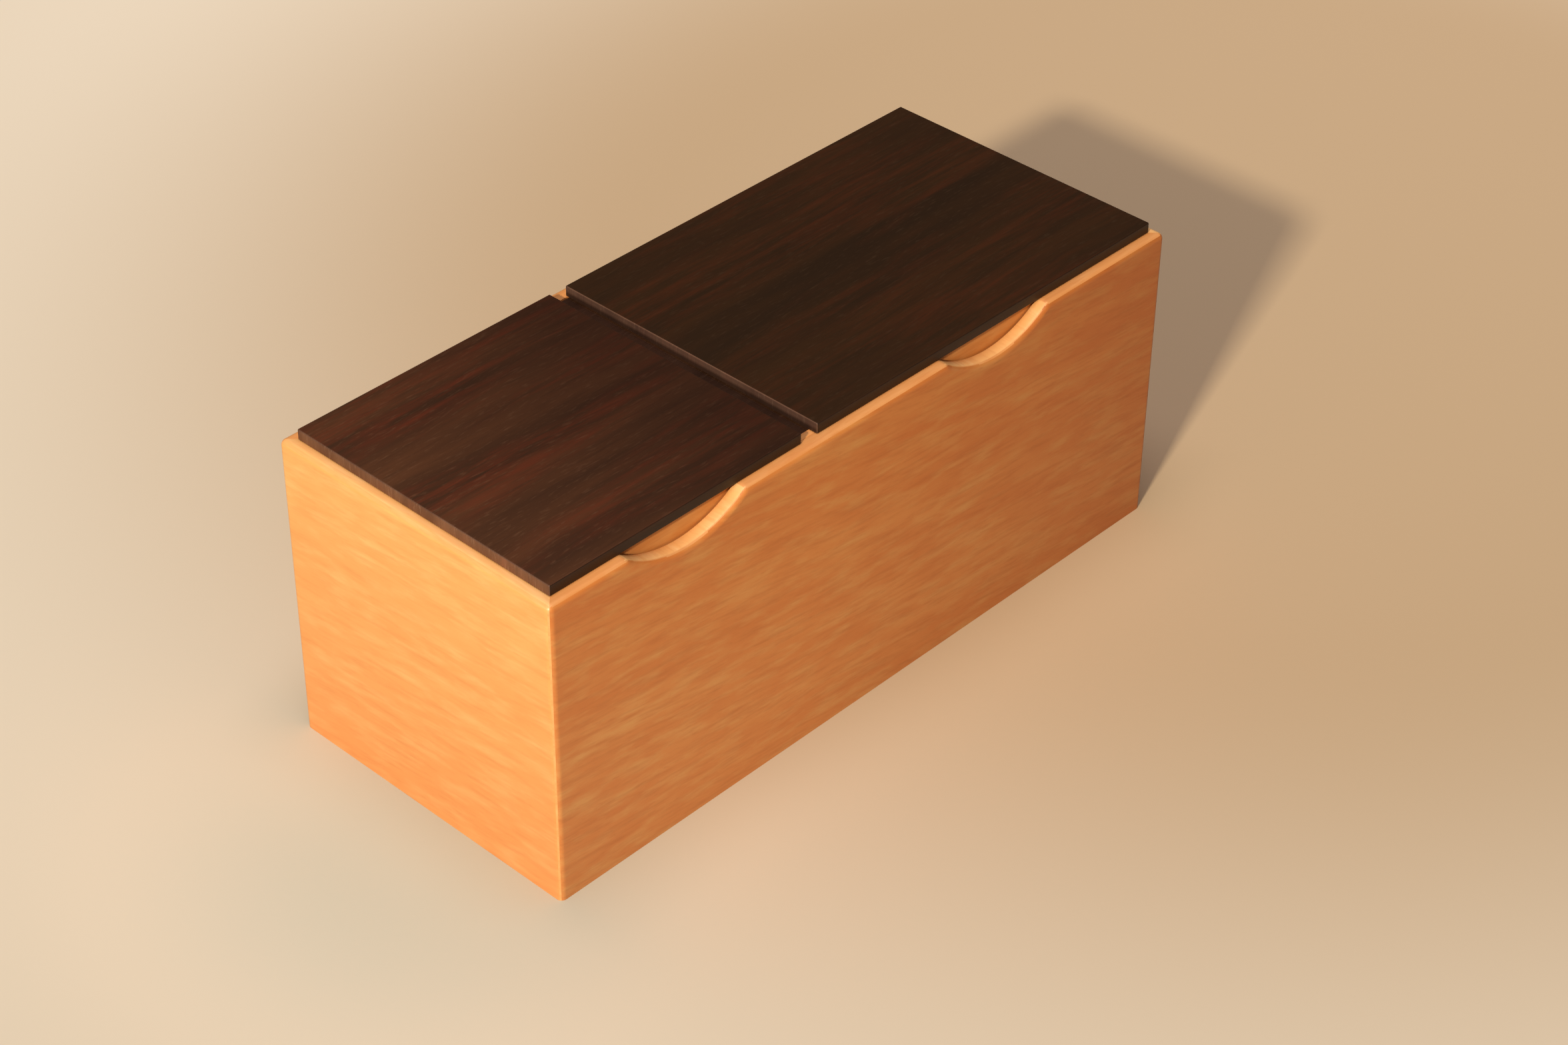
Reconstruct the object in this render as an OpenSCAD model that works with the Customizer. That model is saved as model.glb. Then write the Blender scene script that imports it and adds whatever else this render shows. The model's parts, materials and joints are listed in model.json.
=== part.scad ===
// Two-lid wooden puzzle box. Light walls mitred at the corners, two dark lids of unequal length that lift
// off by a finger notch in the front wall, and a divider with two captive brass pins that shuttle sideways.
// A pin that has moved to one side stands in the groove of that lid's inner lip, and the lid is locked.
// Millimetres. +X runs along the length to the right, +Y to the back, +Z up, origin under the middle.

/* [Box] */
// Outside length of the box
box_length = 212; // [170:1:300]
// Outside depth of the box, front to back
box_depth = 90; // [78:1:140]
// Height of the walls, without the lids
wall_height = 85.5; // [60:0.5:120]
// Thickness of the four walls
wall = 4; // [3.5:0.25:6]
// Chamfer along the outside edges of the walls
wall_ease = 0.7; // [0.3:0.1:1]

/* [Bottom] */
// Thickness of the bottom panel
bottom_thick = 4; // [3:0.5:6]
// How far the bottom panel is let into the walls
bottom_rabbet = 2; // [1:0.25:2.5]

/* [Divider] */
// Distance from the left outside face to the middle of the divider
divider_from_left = 84.4; // [72:0.2:100]
// Thickness of the divider
divider_thick = 12; // [11:0.5:15]
// How far the divider is housed in the front and back walls
housing_depth = 1.2; // [0.8:0.1:2]
// Height of plain wall left above each housing
housing_stop = 8; // [6:0.5:12]
// Width of the dark strip let into the top of the divider
inlay_width = 8; // [6:0.5:9]
// Depth of the rebate that holds the strip
inlay_depth = 2.5; // [1.5:0.25:2.75]
// Light wood left at the front end of the strip, whose other end runs to the back wall
inlay_end = 1.9; // [1:0.1:4]
// How far the strip lies below the top of the walls
inlay_drop = 0.4; // [0.2:0.1:0.8]

/* [Lids] */
// Thickness of the lid boards
lid_thick = 3; // [2.5:0.25:5]
// Wall top left showing at the front and at the two ends
lid_inset = 3; // [1.5:0.25:3]
// Wall top left showing at the back
lid_back_inset = 3.5; // [1.5:0.25:3.5]
// Gap between the two lid boards
lid_gap = 5.2; // [3:0.2:8]
// Chamfer along the top edges of the lid boards
lid_ease = 0.4; // [0.2:0.1:0.6]
// Height of the locating lips under the lids
lip_height = 13; // [12:0.5:18]
// Thickness of the front, back and outer lips
lip_thick = 4.5; // [4:0.25:6]
// Thickness of the grooved inner lips
inner_lip_thick = 6; // [5:0.5:8]
// Play between a lip and the wall or divider beside it
lip_clearance = 0.3; // [0.2:0.05:0.5]

/* [Finger notches] */
// Width of a notch at the top of the front wall
notch_width = 37; // [24:1:44]
// Depth of a notch at its middle
notch_depth = 6.2; // [4:0.1:8]

/* [Lock pins] */
// Radius of the lock pins
pin_radius = 2; // [1.5:0.25:2.25]
// Travel of a pin to each side of the middle
pin_travel = 3; // [2.5:0.25:3.5]
// Distance between the two pins, front to back
pin_spread = 50; // [30:1:60]
// Depth of the pin axes below the top of the walls
pin_drop = 7; // [6.5:0.25:8]
// Length of a bushing along its pin
bushing_thick = 2; // [1.5:0.25:2]
// Outside radius of the bushings and of their bore
bushing_radius = 3.5; // [3.25:0.25:3.75]
// Radius of the stop collar on a pin
collar_radius = 3; // [2.75:0.05:3]
// Radial play of a pin in its bushings
pin_clearance = 0.05; // [0.02:0.01:0.1]
// How far the pin ends lie inside the faces of the divider when centred
tip_clearance = 0.3; // [0.2:0.1:0.5]
// Play above, below and beyond a pin in a lip's groove
groove_clearance = 0.5; // [0.3:0.1:0.6]

/* [Hidden] */
$fn = 96;

LIGHT_WOOD = [0.80, 0.53, 0.30];
INNER_WOOD = [0.84, 0.60, 0.38];
DARK_WOOD = [0.20, 0.11, 0.07];
BRASS = [0.78, 0.62, 0.30];
CUT = 1; // how far a cutting solid runs past the face that it opens

// Faces of the box and of the divider
left = -box_length / 2;
right = box_length / 2;
front = -box_depth / 2;
back = box_depth / 2;
divider_x = left + divider_from_left;
divider_left = divider_x - divider_thick / 2;
divider_right = divider_x + divider_thick / 2;

// Each lid as [outer edge, inner edge] of its board and of the ring of lips below it, along X
small_board = [left + lid_inset, divider_x - lid_gap / 2];
large_board = [divider_x + lid_gap / 2, right - lid_inset];
small_plug = [left + wall + lip_clearance, divider_left - lip_clearance];
large_plug = [divider_right + lip_clearance, right - wall - lip_clearance];
plug_front = front + wall + lip_clearance;
plug_back = back - wall - lip_clearance;
lip_bottom = wall_height - lip_height;

// Arc of a finger notch: its chord is notch_width and its rise is notch_depth
notch_radius = (pow(notch_width / 2, 2) + pow(notch_depth, 2)) / (2 * notch_depth);

// Lock pins
pin_z = wall_height - pin_drop;
pin_half = divider_thick / 2 - tip_clearance;
chamber_half = divider_thick / 2 - bushing_thick;
collar_thick = 2 * (chamber_half - pin_travel);
groove_height = 2 * (pin_radius + groove_clearance);
groove_depth = pin_travel - tip_clearance - lip_clearance + groove_clearance;
housing_top = wall_height - housing_stop;

// A box between two corners
module block(low, high) {
    translate(low) cube(high - low);
}

// Cross-section of a wall: x is the distance in from the outside face, y is the height
module wall_section() {
    polygon([
        [wall_ease, 0], [0, wall_ease], [0, wall_height - wall_ease], [wall_ease, wall_height],
        [wall, wall_height], [wall, bottom_thick], [wall - bottom_rabbet, bottom_thick],
        [wall - bottom_rabbet, 0]
    ]);
}

// Plan of a wall with mitred ends, its outside face on the X axis and the box on the +Y side
module wall_plan(length) {
    half = length / 2;
    polygon([
        [-half + wall_ease, 0], [half - wall_ease, 0], [half - wall_ease / 2, wall_ease / 2],
        [half - wall, wall], [-half + wall, wall], [-half + wall_ease / 2, wall_ease / 2]
    ]);
}

// A mitred wall along X, its outside face at y = 0
module mitred_wall(length) {
    intersection() {
        linear_extrude(wall_height) wall_plan(length);
        translate([-length / 2, 0, 0])
            rotate([90, 0, 90])
                linear_extrude(length) wall_section();
    }
}

// The shallow housing that takes one end of the divider, in a wall whose outside face is at y = 0
module divider_housing() {
    block([divider_left, wall - housing_depth, bottom_thick], [divider_right, wall + CUT, housing_top]);
}

// Cutter for a finger notch at a place along X
module notch_cutter(x) {
    translate([x, -CUT, wall_height - notch_depth + notch_radius])
        rotate([-90, 0, 0])
            cylinder(h = wall + 2 * CUT, r = notch_radius);
}

module front_wall() {
    color(LIGHT_WOOD)
        translate([0, front, 0])
            difference() {
                mitred_wall(box_length);
                divider_housing();
                notch_cutter((small_board[0] + small_board[1]) / 2);
                notch_cutter((large_board[0] + large_board[1]) / 2);
            }
}

module back_wall() {
    color(LIGHT_WOOD)
        translate([0, back, 0])
            mirror([0, 1, 0])
                difference() {
                    mitred_wall(box_length);
                    divider_housing();
                }
}

module left_end_wall() {
    color(LIGHT_WOOD)
        translate([left, 0, 0])
            rotate([0, 0, -90])
                mitred_wall(box_depth);
}

module right_end_wall() {
    color(LIGHT_WOOD)
        translate([right, 0, 0])
            rotate([0, 0, 90])
                mitred_wall(box_depth);
}

// Let into the rabbet of all four walls, flush with their lower edges
module bottom_panel() {
    edge = wall - bottom_rabbet;
    color(INNER_WOOD)
        block([left + edge, front + edge, 0], [right - edge, back - edge, bottom_thick]);
}

// The board between the two compartments, with its inlay rebate and the two pin bores
module divider() {
    inner_front = front + wall;
    inner_back = back - wall;
    color(INNER_WOOD)
        difference() {
            union() {
                block([divider_left, inner_front, bottom_thick], [divider_right, inner_back, wall_height]);
                block(
                    [divider_left, inner_front - housing_depth, bottom_thick],
                    [divider_right, inner_back + housing_depth, housing_top]
                );
            }
            block(
                [divider_x - inlay_width / 2, inner_front + inlay_end, wall_height - inlay_depth],
                [divider_x + inlay_width / 2, inner_back + CUT, wall_height + CUT]
            );
            for (side = [-1, 1])
                at_pin(side)
                    translate([0, 0, -divider_thick / 2 - CUT])
                        cylinder(h = divider_thick + 2 * CUT, r = bushing_radius);
        }
}

// Dark strip in the top of the divider, seen between the two lids
module divider_inlay() {
    color(DARK_WOOD)
        block(
            [divider_x - inlay_width / 2, front + wall + inlay_end, wall_height - inlay_depth],
            [divider_x + inlay_width / 2, back - wall, wall_height - inlay_drop]
        );
}

// Puts its children at a pin's middle, with their Z axis along +X; side is -1 at the front, 1 at the back
module at_pin(side) {
    translate([divider_x, side * pin_spread / 2, pin_z])
        rotate([0, 90, 0])
            children();
}

// The pair of bushings pressed into one bore, flush with the faces of the divider
module pin_bushings(side) {
    color(BRASS)
        for (end = [-1, 1])
            at_pin(side)
                translate([0, 0, end * (divider_thick - bushing_thick) / 2])
                    difference() {
                        cylinder(h = bushing_thick, r = bushing_radius, center = true);
                        cylinder(
                            h = bushing_thick + 2 * CUT, r = pin_radius + pin_clearance, center = true
                        );
                    }
}

// A plain pin with chamfered tips
module lock_pin(side) {
    tip = pin_radius / 4;
    color(BRASS)
        at_pin(side)
            rotate_extrude()
                polygon([
                    [0, -pin_half], [pin_radius - tip, -pin_half], [pin_radius, -pin_half + tip],
                    [pin_radius, pin_half - tip], [pin_radius - tip, pin_half], [0, pin_half]
                ]);
}

// The ring on the middle of a pin, which stops against the bushings and keeps the pin in the divider
module pin_collar(side) {
    color(BRASS)
        at_pin(side)
            difference() {
                cylinder(h = collar_thick, r = collar_radius, center = true);
                cylinder(h = collar_thick + 2 * CUT, r = pin_radius, center = true);
            }
}

// A lid board between two places along X, with its top edges and corners eased
module lid_board(span) {
    length = span[1] - span[0];
    depth = box_depth - lid_inset - lid_back_inset;
    color(DARK_WOOD)
        translate([span[0], front + lid_inset, wall_height])
            intersection() {
                linear_extrude(lid_thick) board_plan(length, depth);
                translate([0, depth, 0]) rotate([90, 0, 0]) linear_extrude(depth) board_section(length);
                rotate([90, 0, 90]) linear_extrude(length) board_section(depth);
            }
}

// Plan of a lid board with its four corners eased
module board_plan(length, depth) {
    e = lid_ease;
    polygon([
        [e, 0], [length - e, 0], [length, e], [length, depth - e],
        [length - e, depth], [e, depth], [0, depth - e], [0, e]
    ]);
}

// Section of a lid board with its two top edges eased
module board_section(width) {
    polygon([
        [0, 0], [width, 0], [width, lid_thick - lid_ease], [width - lid_ease, lid_thick],
        [lid_ease, lid_thick], [0, lid_thick - lid_ease]
    ]);
}

// A lip that runs the whole length of the ring along X, with its outside face at y
module long_lip(plug, y, inward) {
    color(INNER_WOOD)
        block(
            [plug[0], min(y, y + inward * lip_thick), lip_bottom],
            [plug[1], max(y, y + inward * lip_thick), wall_height]
        );
}

// A lip across the box between the two long ones
module cross_lip(x0, x1) {
    color(INNER_WOOD)
        block(
            [x0, plug_front + lip_thick, lip_bottom],
            [x1, plug_back - lip_thick, wall_height]
        );
}

// The inner lip beside the divider; a groove along its outside face takes the pins. toward is 1 or -1 along X
module grooved_lip(x, toward) {
    difference() {
        cross_lip(min(x, x - toward * inner_lip_thick), max(x, x - toward * inner_lip_thick));
        block(
            [min(x + toward * CUT, x - toward * groove_depth), plug_front, pin_z - groove_height / 2],
            [max(x + toward * CUT, x - toward * groove_depth), plug_back, pin_z + groove_height / 2]
        );
    }
}

front_wall();
back_wall();
left_end_wall();
right_end_wall();
bottom_panel();
divider();
divider_inlay();
pin_bushings(-1);  // front_pin_bushings
pin_bushings(1);  // back_pin_bushings
lock_pin(-1);  // front_lock_pin
pin_collar(-1);  // front_pin_collar
lock_pin(1);  // back_lock_pin
pin_collar(1);  // back_pin_collar
lid_board(small_board);  // small_lid_top
long_lip(small_plug, plug_front, 1);  // small_lid_front_lip
long_lip(small_plug, plug_back, -1);  // small_lid_back_lip
cross_lip(small_plug[0], small_plug[0] + lip_thick);  // small_lid_outer_lip
grooved_lip(small_plug[1], 1);  // small_lid_inner_lip
lid_board(large_board);  // large_lid_top
long_lip(large_plug, plug_front, 1);  // large_lid_front_lip
long_lip(large_plug, plug_back, -1);  // large_lid_back_lip
cross_lip(large_plug[1] - lip_thick, large_plug[1]);  // large_lid_outer_lip
grooved_lip(large_plug[0], -1);  // large_lid_inner_lip
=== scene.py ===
# %% [markdown]
# # A mitred wooden box with two lift-off lids
#
# The real box is made of thin boards: four walls of a honey-coloured hardwood, mitred at the
# corners, and two lids of dark rosewood that lie on the walls. Under each lid a ring of light lips
# keeps it in place. A divider between the two compartments holds two loose brass pins, which run to
# one side when the box is tipped and lock the lid there.
#
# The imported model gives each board's place and size. This lesson builds the boards again with the
# soft edges that sandpaper leaves, and spends most of its effort on what the eye reads as wood:
# grain that follows each board's length.

# %% Load the frame
import json
import math

import bmesh
import bpy
import numpy as np
from mathutils import Matrix, Vector


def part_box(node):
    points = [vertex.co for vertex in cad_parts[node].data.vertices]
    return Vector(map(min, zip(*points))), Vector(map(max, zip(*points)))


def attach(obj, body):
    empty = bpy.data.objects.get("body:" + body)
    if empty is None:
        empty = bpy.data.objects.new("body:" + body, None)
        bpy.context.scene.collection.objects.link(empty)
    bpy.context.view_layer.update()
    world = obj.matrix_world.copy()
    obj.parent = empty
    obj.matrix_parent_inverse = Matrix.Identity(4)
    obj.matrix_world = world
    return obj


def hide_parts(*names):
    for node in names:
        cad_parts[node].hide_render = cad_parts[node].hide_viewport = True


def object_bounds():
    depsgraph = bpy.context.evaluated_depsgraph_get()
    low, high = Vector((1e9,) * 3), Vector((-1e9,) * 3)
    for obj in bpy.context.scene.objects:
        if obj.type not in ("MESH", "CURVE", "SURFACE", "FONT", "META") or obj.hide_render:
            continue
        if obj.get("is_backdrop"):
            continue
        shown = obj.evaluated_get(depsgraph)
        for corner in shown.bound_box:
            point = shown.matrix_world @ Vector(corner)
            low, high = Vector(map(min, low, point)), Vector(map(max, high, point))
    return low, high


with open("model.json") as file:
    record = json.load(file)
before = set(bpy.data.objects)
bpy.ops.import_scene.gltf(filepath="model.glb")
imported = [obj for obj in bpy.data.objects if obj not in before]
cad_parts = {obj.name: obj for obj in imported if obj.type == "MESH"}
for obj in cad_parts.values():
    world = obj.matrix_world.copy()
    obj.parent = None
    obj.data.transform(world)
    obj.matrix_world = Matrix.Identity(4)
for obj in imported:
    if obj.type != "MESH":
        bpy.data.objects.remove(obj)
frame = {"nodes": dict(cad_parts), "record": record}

cad_low, cad_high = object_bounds()
MM = 0.001
print("box of the model in mm:", [round(v / MM, 1) for v in cad_high - cad_low])

# %% [markdown]
# ## One way to make a mesh
#
# Nearly every piece below is worked out as whole numpy arrays of points and then handed over in one
# go. Two grids may share an edge, so points that fall on the same place are merged, and the faces
# are turned outwards at the end.

# %% Arrays to a mesh
def make_piece(name, points, faces, node, smooth_degrees=35):
    """Turns an (n, 3) array of points in metres and lists of corner numbers into a closed mesh
    object that stands for a CAD node: it takes over that node's body."""
    mesh = bpy.data.meshes.new(name)
    mesh.from_pydata(points.tolist(), [], [list(map(int, face)) for face in faces])
    merge_points(mesh)
    mesh.shade_smooth()
    mesh.set_sharp_from_angle(angle=math.radians(smooth_degrees))
    piece = bpy.data.objects.new(name, mesh)
    bpy.context.scene.collection.objects.link(piece)
    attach(piece, body_of[node])
    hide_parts(node)
    return piece


def merge_points(mesh):
    """Merges points closer than a thousandth of a millimetre and turns every face outwards."""
    work = bmesh.new()
    work.from_mesh(mesh)
    bmesh.ops.remove_doubles(work, verts=work.verts, dist=0.001 * MM)
    bmesh.ops.recalc_face_normals(work, faces=work.faces)
    work.to_mesh(mesh)
    work.free()


body_of = {node: body for body, nodes in frame["record"]["behaviour"]["bodies"].items() for node in nodes}

# %% [markdown]
# ## Soft edges without a modifier
#
# A freshly cut board has knife-sharp edges, and a few strokes of sandpaper round them. That
# rounding is worth real geometry, because the thin bright line along an edge is what tells the eye
# that the board is solid. A bevel modifier could do it, but the walls meet at mitres, where the
# rounding of one wall has to run on into the next. So the edge is a formula: take the nearest point
# of the same block shrunk by the ease, and keep that distance from it.

# %% Rounding a block's edges
ARC_STEPS = 5            # flat facets in an eighth of a turn
SUPPORT = 0.25 * MM      # a row of points just past each arc, which keeps the flat face flat in shading


def edge_steps(low, high, ease, middle=()):
    """Places from low to high. Within ease of each end they stand at equal turns of the arc, which
    is at ease * (1 - tan(turn)) from the end."""
    turns = ease * (1 - np.tan(np.linspace(math.pi / 4, 0, ARC_STEPS + 1)))
    arc = np.append(turns, ease + SUPPORT)
    return np.concatenate([low + arc, np.asarray(middle, float), high - arc[::-1]])


def eased(points, low, high, ease):
    """Rounds a sharp block. With c the nearest point of the block shrunk by ease, a surface point p
    goes to c + (p - c) * max|p - c| / |p - c|, which is the arc's own radius from c. Points deep
    inside stay."""
    core = np.clip(points, np.asarray(low) + ease, np.asarray(high) - ease)
    away = points - core
    longest = np.abs(away).max(axis=-1, keepdims=True)
    length = np.linalg.norm(away, axis=-1, keepdims=True)
    return core + away * longest / np.maximum(length, 1e-12)


def grid_faces(rows, columns, start=0, closed=False):
    """Quads between neighbours of a rows x columns grid whose points are numbered from start. A
    closed grid also joins each row's last point to its first."""
    number = start + np.arange(rows * columns).reshape(rows, columns)
    if closed:
        number = np.concatenate([number, number[:, :1]], axis=1)
    corners = [number[:-1, :-1], number[1:, :-1], number[1:, 1:], number[:-1, 1:]]
    return np.stack(corners, axis=-1).reshape(-1, 4)


def block_surface(low, high, ease):
    """Six grids, one on each side of a block, with their shared edges rounded as above."""
    steps = [edge_steps(low[axis], high[axis], ease) for axis in range(3)]
    points = []
    faces = []
    for axis in range(3):
        across, along = [other for other in range(3) if other != axis]
        u, v = np.meshgrid(steps[across], steps[along], indexing="ij")
        for face_at in (low[axis], high[axis]):
            side = np.empty(u.shape + (3,))
            side[..., axis] = face_at
            side[..., across] = u
            side[..., along] = v
            faces.append(grid_faces(*u.shape, start=sum(len(p) for p in points)))
            points.append(side.reshape(-1, 3))
    return eased(np.concatenate(points), low, high, ease), np.concatenate(faces)


def board(node, ease):
    """An eased board as large as a CAD node."""
    low, high = (np.array(corner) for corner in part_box(node))
    points, faces = block_surface(low, high, ease)
    return make_piece(node.replace("_", "-"), points, faces, node)


print("an eased edge has", 2 * ARC_STEPS, "facets")

# %% [markdown]
# ## The four walls
#
# A wall is one profile carried along its length: outside face, eased top edge, top, inside face and
# the rabbet that takes the bottom panel. The last stretch at each end is squeezed so that the
# profile finishes on the 45-degree mitre. The top edge and the upright corners are well rounded, as
# on a box that has been handled, while the lower edges stay crisp where they meet the table. The
# finger notches lower the top of the profile by the height of an arc, with its two corners softened
# as a sanding stick would leave them.

# %% Sizes of the walls, from the frame
outer_low, outer_high = (np.array(corner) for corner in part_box("front_wall"))
WALL = outer_high[1] - outer_low[1]
WALL_TOP = outer_high[2]
HALF_LENGTH = (cad_high.x - cad_low.x) / 2
HALF_DEPTH = (cad_high.y - cad_low.y) / 2
panel_low, panel_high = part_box("bottom_panel")
RABBET_TOP = panel_high.z
RABBET = WALL - (panel_low.y - cad_low.y)
divider_low, divider_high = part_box("divider")
HOUSING = WALL - (divider_low.y - cad_low.y)
HOUSING_TOP = WALL_TOP - 8 * MM      # the divider's housing stops short of the top
WALL_EASE = 1.6 * MM
INNER_EASE = 0.3 * MM
SQUEEZE = 10 * MM        # length at each end over which the profile is fitted to the mitre
NOTCH_WIDTH = 37 * MM
NOTCH_DEPTH = 6.2 * MM
NOTCH_SOFTNESS = 0.35 * MM
NOTCH_RADIUS = ((NOTCH_WIDTH / 2) ** 2 + NOTCH_DEPTH ** 2) / (2 * NOTCH_DEPTH)
NOTCH_END = 0.9 * NOTCH_RADIUS       # from its middle; the top is level past this
NOTCH_STEP = 0.5 * MM    # between stations through a notch
notch_centres = [sum(corner.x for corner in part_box(lid)) / 2 for lid in ("small_lid_top", "large_lid_top")]
print("wall", round(WALL / MM, 2), "mm, notches at", [round(x / MM, 1) for x in notch_centres])


# %% The wall's profile and the notch
def wall_profile():
    """The profile as places in from the outside face and heights, in a loop, and which of them the
    divider's housing sets back."""
    up = edge_steps(0, WALL_TOP, WALL_EASE, middle=[HOUSING_TOP])
    top = edge_steps(0, WALL, WALL_EASE)[1:ARC_STEPS + 2]
    inside = [
        (WALL - INNER_EASE, WALL_TOP, 0),
        (WALL - 0.3 * INNER_EASE, WALL_TOP - 0.3 * INNER_EASE, 0),
        (WALL, WALL_TOP - INNER_EASE, 0),
        (WALL, HOUSING_TOP, 0), (WALL, HOUSING_TOP, 1), (WALL, RABBET_TOP, 1),
        (WALL - RABBET, RABBET_TOP, 0), (WALL - RABBET, 0, 0)
    ]
    loop = [(0, height, 0) for height in up] + [(place, WALL_TOP, 0) for place in top]
    loop += inside + [(place, 0, 0) for place in top[::-1]]
    return np.array(loop).T


def softened_arc(reach):
    """The drop at a distance from a notch's middle: the height a of an arc over its chord, softened
    at the corners by (a + sqrt(a^2 + s^2)) / 2, which is a where it is large and fades to nothing
    where it is negative."""
    arc = np.sqrt(NOTCH_RADIUS ** 2 - reach ** 2) - (NOTCH_RADIUS - NOTCH_DEPTH)
    return (arc + np.sqrt(arc ** 2 + NOTCH_SOFTNESS ** 2)) / 2


def notch_drop(x):
    """How far the notches lower the top at x. What is left of the softened drop at a notch's end is
    taken off all along it, so that it ends at nothing."""
    drop = np.zeros_like(x)
    for centre in notch_centres:
        drop += softened_arc(np.minimum(np.abs(x - centre), NOTCH_END)) - softened_arc(NOTCH_END)
    return drop


print(wall_profile().shape[1], "points in a wall's profile")
print("notch drop in mm:", np.round(notch_drop(np.array(notch_centres)) / MM, 2))


# %% Carry the profile along a wall
def wall(node, half, out, turn, notched=False, housed=False):
    """A wall of half length half whose outside face is out from the middle of the box, turned about
    the upright axis. Its points are the profile at each station: x, the place in from the outside
    face, and the height. Near each end x is squeezed in proportion to that place, so that the
    profile ends at x = half - place, which is the mitre."""
    span = housing_span(turn) if housed else []
    stations = edge_steps(-half, half, WALL_EASE, middle=middle_stations(half, notched, span))
    in_housing = np.zeros(len(stations))
    if housed:
        pair = [np.flatnonzero(np.isclose(stations, x, atol=1e-7)) for x in span]
        in_housing[pair[0][1]:pair[1][0] + 1] = 1
    place, height, set_back = wall_profile()
    x = np.repeat(stations[:, None], len(place), axis=1)
    depth = place[None, :] - HOUSING * set_back[None, :] * in_housing[:, None]
    squeezed = (half - SQUEEZE) + (np.abs(x) - (half - SQUEEZE)) * (SQUEEZE - depth) / SQUEEZE
    x = np.where(np.abs(x) > half - SQUEEZE, np.sign(x) * squeezed, x)
    z = np.repeat(height[None, :], len(stations), axis=0)
    points = np.stack([x, depth - out, z], axis=-1)
    below = -WALL_EASE       # a block that goes on below the floor keeps the wall's lower edges crisp
    points = eased(points, (-half, -out, below), (half, out, WALL_TOP), WALL_EASE)
    if notched:
        points[..., 2] -= notch_drop(points[..., 0]) * (z > HOUSING_TOP + SUPPORT)
    turned = points.reshape(-1, 3) @ np.array(Matrix.Rotation(turn, 3, "Z")).T
    rows, columns = x.shape
    faces = grid_faces(rows, columns, closed=True).tolist()
    faces += [list(range(columns)), list(range((rows - 1) * columns, rows * columns))]
    return make_piece(node.replace("_", "-"), turned, faces, node)


def housing_span(turn):
    """The divider's two faces along a front or back wall, in the wall's own direction."""
    ends = np.array([divider_low.x, divider_high.x]) * round(math.cos(turn))
    return np.sort(ends)


def middle_stations(half, notched, span):
    """Stations between the eased ends: every half millimetre through a notch, and both ends of the
    span twice."""
    places = [-half + SQUEEZE, half - SQUEEZE]
    if notched:
        reach = 0.8 * NOTCH_WIDTH
        for centre in notch_centres:
            places += list(np.arange(centre - reach, centre + reach, NOTCH_STEP))
    return sorted(places + list(np.repeat(span, 2)))


front_wall = wall("front_wall", HALF_LENGTH, HALF_DEPTH, 0, notched=True, housed=True)
back_wall = wall("back_wall", HALF_LENGTH, HALF_DEPTH, math.pi, housed=True)
left_end = wall("left_end_wall", HALF_DEPTH, HALF_LENGTH, -math.pi / 2)
right_end = wall("right_end_wall", HALF_DEPTH, HALF_LENGTH, math.pi / 2)
for piece in (front_wall, back_wall, left_end, right_end):
    print(piece.name, len(piece.data.vertices), "points")

# %% [markdown]
# ## Lids, lips, panel and inlay
#
# These are plain boards, so each one is an eased block as large as its CAD node. The lids are
# sanded only lightly: a third of a millimetre keeps their corners crisp and still catches a line of
# light.

# %% Plain boards
LID_EASE = 0.35 * MM
LIP_EASE = 0.3 * MM
PANEL_EASE = 0.2 * MM
small_lid = board("small_lid_top", LID_EASE)
large_lid = board("large_lid_top", LID_EASE)
plain_lips = [f"{lid}_lid_{side}_lip" for lid in ("small", "large") for side in ("front", "back", "outer")]
lips = [board(node, LIP_EASE) for node in plain_lips]
panel = board("bottom_panel", PANEL_EASE)
inlay = board("divider_inlay", PANEL_EASE)
print(len(lips) + 4, "boards")

# %% [markdown]
# ## The two grooved lips
#
# The lip beside the divider has a groove along it, and a lock pin that has slid over stands in that
# groove. The lip is again a profile carried along its length: a rectangle with the groove cut into
# one side. The groove is as high as a pin with half a millimetre to spare above and below, and its
# mouth is broken with a small chamfer.

# %% Carry the grooved profile
pin_low, pin_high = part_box("front_lock_pin")
PIN_HEIGHT = (pin_low.z + pin_high.z) / 2
PIN_RADIUS = (pin_high.z - pin_low.z) / 2
GROOVE_HALF = PIN_RADIUS + 0.5 * MM
GROOVE_DEPTH = 2.9 * MM
MOUTH = 0.2 * MM


def grooved_lip(node, toward):
    """A lip whose grooved side looks toward -x or +x. Its profile is worked out as places in from
    that side and heights, and goes round the bottom, the plain side, the top and the grooved
    side."""
    low, high = (np.array(corner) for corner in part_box(node))
    side = high[0] if toward > 0 else low[0]
    places = edge_steps(0, high[0] - low[0], LIP_EASE)
    heights = edge_steps(low[2], high[2], LIP_EASE)
    lower, upper = PIN_HEIGHT - GROOVE_HALF, PIN_HEIGHT + GROOVE_HALF
    groove = [(0, upper + MOUTH), (MOUTH, upper), (GROOVE_DEPTH, upper)]
    groove += [(GROOVE_DEPTH, lower), (MOUTH, lower), (0, lower - MOUTH)]
    half = len(heights) // 2
    loop = [(place, low[2]) for place in places] + [(places[-1], height) for height in heights]
    loop += [(place, high[2]) for place in places[::-1]] + [(0, height) for height in heights[:half - 1:-1]]
    loop += groove + [(0, height) for height in heights[half - 1::-1]]
    place, z = np.array(loop).T
    y, place = np.meshgrid(edge_steps(low[1], high[1], LIP_EASE), place, indexing="ij")
    points = np.stack([side - toward * place, y, np.broadcast_to(z, y.shape)], axis=-1)
    rows, columns = y.shape
    faces = grid_faces(rows, columns, closed=True).tolist()
    faces += [list(range(columns)), list(range((rows - 1) * columns, rows * columns))]
    points = eased(points.reshape(-1, 3), low, high, LIP_EASE)
    return make_piece(node.replace("_", "-"), points, faces, node)


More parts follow.
